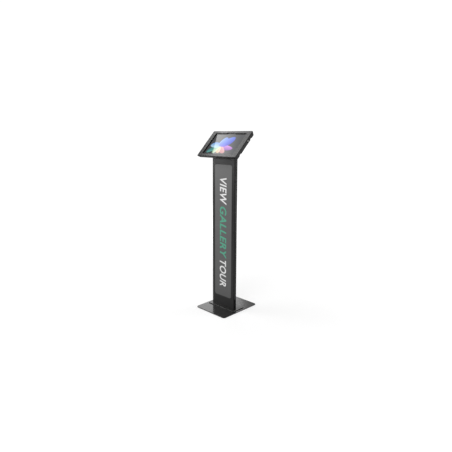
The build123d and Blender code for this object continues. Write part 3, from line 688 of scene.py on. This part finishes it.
def ink_finish(name, colour):
    """Printed lettering: one ink with a slight screen-print mottle."""
    material, shader, tree, vector = new_finish(name)
    mottle = tree.ramp(tree.noise(vector, 900.0, 3.0), 0.3, 0.7)
    deep = tuple(part * 0.92 for part in colour) + (1,)
    tree.feed(shader, "Base Color", tree.mix(mottle, deep, tuple(colour) + (1,)))
    tree.feed(shader, "Roughness", tree.ramp(tree.noise(vector, 60.0, 2.0), 0.2, 0.8, 0.42, 0.5))
    bump(tree, shader, mottle, 0.00001)
    return material


# the lit picture, in units of half its width: petals by direction from the hub in degrees, reach, width
# and two colours, on a dark ground
PETALS = (
    (346, 0.98, 0.17, (0.22, 0.02, 0.42), (0.86, 0.34, 1.00)),
    (212, 0.76, 0.17, (0.01, 0.14, 0.15), (0.12, 0.50, 0.44)),
    (318, 0.74, 0.16, (0.62, 0.16, 0.20), (0.96, 0.52, 0.48)),
    (288, 0.52, 0.16, (0.80, 0.44, 0.16), (0.98, 0.82, 0.58)),
    (248, 0.54, 0.17, (0.14, 0.44, 0.22), (0.78, 0.94, 0.66)),
    (172, 0.62, 0.19, (0.06, 0.30, 0.84), (0.60, 0.88, 0.98)),
    (66, 0.58, 0.24, (0.06, 0.18, 0.92), (0.30, 0.52, 1.00)),
    (32, 0.90, 0.28, (0.02, 0.04, 0.74), (0.16, 0.30, 1.00)),
)
picture_hub = Vector((-0.26, -0.12))
ground_deep = (0.018, 0.020, 0.026, 1)
ground_pale = (0.034, 0.036, 0.044, 1)
petal_overlap = 0.56
petal_bend = 0.06
petal_cover = 0.88
picture_brightness = 0.85
glass_gloss = 0.35


def screen_finish():
    """The bonded screen: a fan of soft colour petals lit inside a black border, under glossy glass."""
    material, shader, tree, vector = new_finish("lit_screen")
    low, high = head_box("display_module")
    half = (high - low) / 2
    flat = tree.mapping(vector, "TEXTURE", head_origin, head_euler)
    flat = tree.mapping(flat, "TEXTURE", (low + high) / 2, (0, 0, 0), (half.x, half.x, 1))
    ripple = tree.noise(flat, 5.0, 2.0)
    shown = tree.mix(ripple, ground_deep, ground_pale)
    for direction, reach, width, deep, pale in PETALS:
        angle = radians(direction)
        middle = picture_hub + reach / 2 * Vector((cos(angle), sin(angle)))
        petal = tree.group(
            soft_petal,
            Vector=flat,
            Centre=(middle.x, middle.y, 0),
            Turn=-angle,
            Length=reach * petal_overlap,
            Width=width,
            Bend=petal_bend,
        )
        tint = tree.mix(petal.outputs["Across"], deep + (1,), pale + (1,))
        shown = tree.mix(tree.sum("MULTIPLY", petal.outputs["Mask"], petal_cover), shown, tint)
    place = tree.add("ShaderNodeSeparateXYZ", Vector=flat)
    lit_across = tree.sum("LESS_THAN", tree.sum("ABSOLUTE", place.outputs["X"], 0), 1.0)
    lit_up = tree.sum("LESS_THAN", tree.sum("ABSOLUTE", place.outputs["Y"], 0), half.y / half.x)
    lit = tree.sum("MULTIPLY", lit_across, lit_up)
    smudge = tree.group(hand_marks, Vector=vector, Size=20.0)
    tree.feed(shader, "Base Color", tree.mix(ripple, grey(0.008), grey(0.011)))
    tree.feed(shader, "Emission Color", tree.mix(lit, grey(0.0), shown))
    tree.feed(shader, "Roughness", tree.ramp(smudge.outputs["Streaks"], 0.0, 1.0, 0.02, 0.06))
    shader.inputs["Emission Strength"].default_value = picture_brightness
    shader.inputs["Specular IOR Level"].default_value = glass_gloss
    return material


def board_finish():
    """Green solder mask with a pattern of tracks."""
    material, shader, tree, vector = new_finish("circuit_green")
    flat = tree.mapping(vector, "TEXTURE", head_origin, head_euler)
    tracks = tree.add("ShaderNodeTexBrick", Vector=flat, Scale=120.0)
    tracks.inputs["Color1"].default_value = (0.010, 0.075, 0.030, 1)
    tracks.inputs["Color2"].default_value = (0.012, 0.095, 0.040, 1)
    tracks.inputs["Mortar"].default_value = (0.030, 0.160, 0.070, 1)
    tracks.inputs["Mortar Size"].default_value = 0.06
    tree.feed(shader, "Base Color", tracks.outputs["Color"])
    tree.feed(shader, "Roughness", tree.ramp(tree.noise(flat, 300.0), 0.2, 0.8, 0.3, 0.5))
    bump(tree, shader, tracks.outputs["Fac"], 0.00003)
    return material


def column_coat(name, box, colour, roughness, **wear):
    """The stand's powder coat on one of its sheets."""
    return painted(name, colour, roughness, 900.0, 0.06 * MM, box, **wear)


def foot_coat(name, box, roughness, **wear):
    """The finer and glossier powder coat of the foot."""
    return painted(name, 0.012, roughness, 750.0, 0.05 * MM, box, **wear)


def head_coat(name, box, roughness, depth):
    """The enclosure's fine powder coat, which follows the tilt of the head."""
    return painted(name, 0.012, roughness, 1000.0, depth, box, tilted=True, worn=0.35)


finishes = {
    "base_paint": foot_coat("base_powder_coat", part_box("base_plate"), 0.17, worn=0.35, marks=0.05),
    "flange_paint": foot_coat("flange_powder_coat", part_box("foot_flange"), 0.24),
    "column_paint": column_coat("column_powder_coat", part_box("column_channel"), 0.012, 0.34),
    "cover_paint": column_coat("cover_powder_coat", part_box("column_front_cover"), 0.013, 0.33),
    "bracket_paint": column_coat("bracket_powder_coat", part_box("head_bracket"), 0.016, 0.38, worn=0.3),
    "enclosure_paint": head_coat("shell_powder_coat", head_box("rear_shell"), 0.34, 0.06 * MM),
    "frame_paint": head_coat("frame_powder_coat", head_box("front_frame"), 0.18, 0.05 * MM),
    "panel_print": panel_finish(),
    "zinc_steel": metal("zinc_plate", (0.62, 0.63, 0.65), 0.32),
    "black_screw": metal("black_oxide", (0.045, 0.045, 0.050), 0.38, 700.0),
    "lock_steel": metal("lock_nickel", (0.70, 0.69, 0.66), 0.24, 900.0, 0.1),
    "tablet_metal": metal("tablet_aluminium", (0.42, 0.43, 0.45), 0.36, 1500.0, 0.06, True),
    "rubber": moulded("black_rubber", (0.016, 0.016, 0.017), 0.72, 1300.0, 0.00010, 0.25),
    "nylon": moulded("natural_nylon", (0.62, 0.60, 0.54), 0.42, 900.0, 0.00003, 0.10, (0.5, 0.47, 0.4, 1)),
    "foam": moulded("closed_cell_foam", (0.030, 0.030, 0.032), 0.92, 2600.0, 0.00025, 0.15),
    "camera_lens": moulded("lens_black", (0.006, 0.006, 0.010), 0.08, 300.0, 0.00001, 0.02),
    "display_black": moulded("display_black", (0.008, 0.008, 0.009), 0.30, 800.0, 0.00002, 0.05),
    "battery_foil": moulded("battery_wrap", (0.060, 0.062, 0.066), 0.36, 160.0, 0.00020, 0.15),
    "lock_black": moulded("lock_housing_black", (0.020, 0.020, 0.021), 0.45, 1200.0, 0.00005, 0.10),
    "board": board_finish(),
    "screen_glass": screen_finish(),
}
inks = {
    "white": ink_finish("white_ink", (0.92, 0.92, 0.92)),
    "green": ink_finish("green_ink", (0.100, 0.42, 0.28)),
}


# ---------------------------------------------------------------- the display
tray_corner = 2 * MM
tray_rim = 3 * MM
tray_pressing = 0.3 * MM


def add_display():
    """The display's pressed tray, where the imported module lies."""
    low, high = head_box("display_module")
    centre, size = (low + high) / 2, high - low
    shape = bmesh.new()
    bmesh.ops.create_cube(shape, size=1)
    place = Matrix.Translation(centre) @ Matrix.Diagonal((*size, 1))
    bmesh.ops.transform(shape, matrix=place, verts=shape.verts)
    upright = [edge for edge in shape.edges if abs(edge.verts[0].co.z - edge.verts[1].co.z) > size.z / 3]
    bmesh.ops.bevel(
        shape, geom=upright, offset=tray_corner, segments=4, profile=0.5, affect="EDGES", material=-1
    )
    back = min(shape.faces, key=lambda face: face.calc_center_median().z)
    bmesh.ops.inset_individual(shape, faces=[back], thickness=tray_rim, depth=-tray_pressing)
    bmesh.ops.transform(shape, matrix=head_place, verts=shape.verts)
    shape.normal_update()
    tray = new_piece("display_tray", shape)
    smooth(tray)
    dress(tray, "display_module", finishes["display_black"])
    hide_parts("display_module")


# ---------------------------------------------------------------- lettering on the panel
# word, length down the panel, ink
WORDS = (("VIEW", 165 * MM, "white"), ("GALLERY", 330 * MM, "green"), ("TOUR", 175 * MM, "white"))
word_start = 79 * MM
word_gap = 12.5 * MM
letter_height = 56 * MM
letter_slant = 0.21
letter_weight = 0.022
letter_spacing = 1.08
ink_depth = 0.06 * MM


def word_mesh(word):
    """Flat slanted lettering, made a closed mesh one unit deep."""
    curve = bpy.data.curves.new(word, "FONT")
    curve.body = word
    curve.shear = letter_slant
    curve.offset = letter_weight
    curve.space_character = letter_spacing
    curve.extrude = 0.5
    curve.resolution_u = 6
    text = bpy.data.objects.new(word, curve)
    bpy.context.scene.collection.objects.link(text)
    bpy.context.view_layer.update()
    mesh = bpy.data.meshes.new_from_object(text.evaluated_get(bpy.context.evaluated_depsgraph_get()))
    bpy.data.objects.remove(text)
    return mesh


def add_lettering():
    """Three words down the panel, with the letters' tops to the right."""
    low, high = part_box("graphic_panel")
    reading_down = Matrix(((0, 0, -1), (1, 0, 0), (0, -1, 0))).transposed().to_4x4()
    top = high.z - word_start
    for word, length, ink in WORDS:
        shape = bmesh.new()
        shape.from_mesh(word_mesh(word))
        bmesh.ops.remove_doubles(shape, verts=shape.verts, dist=10 * weld_distance)
        small, large = corners_of(vertex.co for vertex in shape.verts)
        size = large - small
        centred = Matrix.Translation((-small.x, -(small.y + large.y) / 2, -small.z))
        stretch = Matrix.Diagonal((length / size.x, letter_height / size.y, ink_depth / size.z, 1))
        place = Matrix.Translation(((low.x + high.x) / 2, low.y, top))
        bmesh.ops.transform(shape, matrix=place @ reading_down @ stretch @ centred, verts=shape.verts)
        piece = new_piece("lettering_" + word.lower(), shape)
        dress(piece, "graphic_panel", inks[ink])
        top -= length + word_gap


# ---------------------------------------------------------------- welds of the head bracket
bracket_sheet = 4 * MM
gusset_inside = 48 * MM
gusset_reach = 42 * MM
gusset_start = 14 * MM
bead_radius = 1.7 * MM
bead_end = 0.7
ripple_length = 2.4 * MM
ripple_swell = 0.16
rings_per_ripple = 4


def add_bead(shape, start, end):
    """One weld run: a tube that swells and narrows with each ripple, closed at both ends."""
    along = end - start
    steps = int(along.length / ripple_length) * rings_per_ripple
    place = Matrix.Translation(start) @ along.to_track_quat("Z", "Y").to_matrix().to_4x4()
    end_radius = bead_radius * bead_end
    ring = bmesh.ops.create_circle(shape, cap_ends=True, segments=10, radius=end_radius, matrix=place)
    edges = list({edge for vertex in ring["verts"] for edge in vertex.link_edges})
    before = bead_end
    for step in range(1, steps + 1):
        swell = 1 + ripple_swell * cos(2 * pi * step / rings_per_ripple)
        if step == steps:
            swell = bead_end
        grown = bmesh.ops.extrude_edge_only(shape, edges=edges)["geom"]
        corners = [item for item in grown if isinstance(item, bmesh.types.BMVert)]
        edges = [item for item in grown if isinstance(item, bmesh.types.BMEdge)]
        bmesh.ops.translate(shape, vec=along / steps, verts=corners)
        middle = start + along * step / steps
        growth = Matrix.Scale(swell / before, 4)
        bmesh.ops.transform(shape, matrix=growth, space=Matrix.Translation(-middle), verts=corners)
        before = swell
    bmesh.ops.contextual_create(shape, geom=edges)


def add_weld_beads():
    """Rippled fillet welds inside the bracket's gussets, up its leg and along its tilted plate."""
    leg_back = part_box("column_channel")[1].y + bracket_sheet
    leg_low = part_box("head_bracket")[0].z + gusset_start
    plate_back = head_box("friction_washer")[0].z - bracket_sheet
    corner_up = (leg_back - head_origin.y - plate_back * head_out.y) / head_up.y
    shape = bmesh.new()
    for side in (-1, 1):
        x = side * gusset_inside
        corner = head_place @ Vector((x, corner_up, plate_back))
        add_bead(shape, Vector((x, leg_back, leg_low)), corner)
        add_bead(shape, corner, head_place @ Vector((x, gusset_reach, plate_back)))
    bmesh.ops.recalc_face_normals(shape, faces=shape.faces)
    piece = new_piece("bracket_welds", shape)
    smooth(piece, 60)
    dress(piece, "head_bracket", finishes["bracket_paint"])


# ---------------------------------------------------------------- what stands for each node
# widths of the rounded edges in millimetres
ROUNDED = {
    "base_plate": 0.4,
    "foot_flange": 0.5,
    "column_channel": 0.4,
    "column_front_cover": 0.35,
    "graphic_panel": 0.15,
    "head_bracket": 0.6,
    "swivel_plate": 0.5,
    "rear_shell": 0.7,
    "front_frame": 0.5,
    "outlet_grommet": 0.4,
    "tablet_body": 0.5,
    "cover_glass": 0.15,
    "pivot_nut": 0.4,
    "rubber_feet": 0.4,
    "lock_barrel": 0.2,
    "lock_plug": 0.1,
    "bracket_bolts": 0.2,
    "rivet_nuts": 0.15,
}
SMOOTH = (
    "base_screws", "flange_screws", "angle_screws", "cover_studs", "cover_nuts", "bracket_nuts",
    "friction_washer", "stop_pin", "swivel_screws", "pivot_spindle", "spring_washer", "frame_screws",
    "screen_gasket", "front_camera", "lock_housing", "lock_keeper", "keeper_screws", "power_key",
    "volume_rocker",
)


def finish_of(name):
    """The finish of a node's material slot; the flange is painted rougher than the plate below it."""
    return finishes["flange_paint" if name == "foot_flange" else slot_of[name]]


def dress_nodes():
    """Rounded or smooth copies for most nodes, and a finish for every one."""
    for name, width in ROUNDED.items():
        rounded_copy(name, width * MM, finish_of(name))
    for name in SMOOTH:
        smooth_copy(name, finish_of(name))
    for name, node in nodes.items():
        node.data.materials.clear()
        node.data.materials.append(finish_of(name))


add_camera()
add_studio()
dress_nodes()
add_display()
add_lettering()
add_weld_beads()
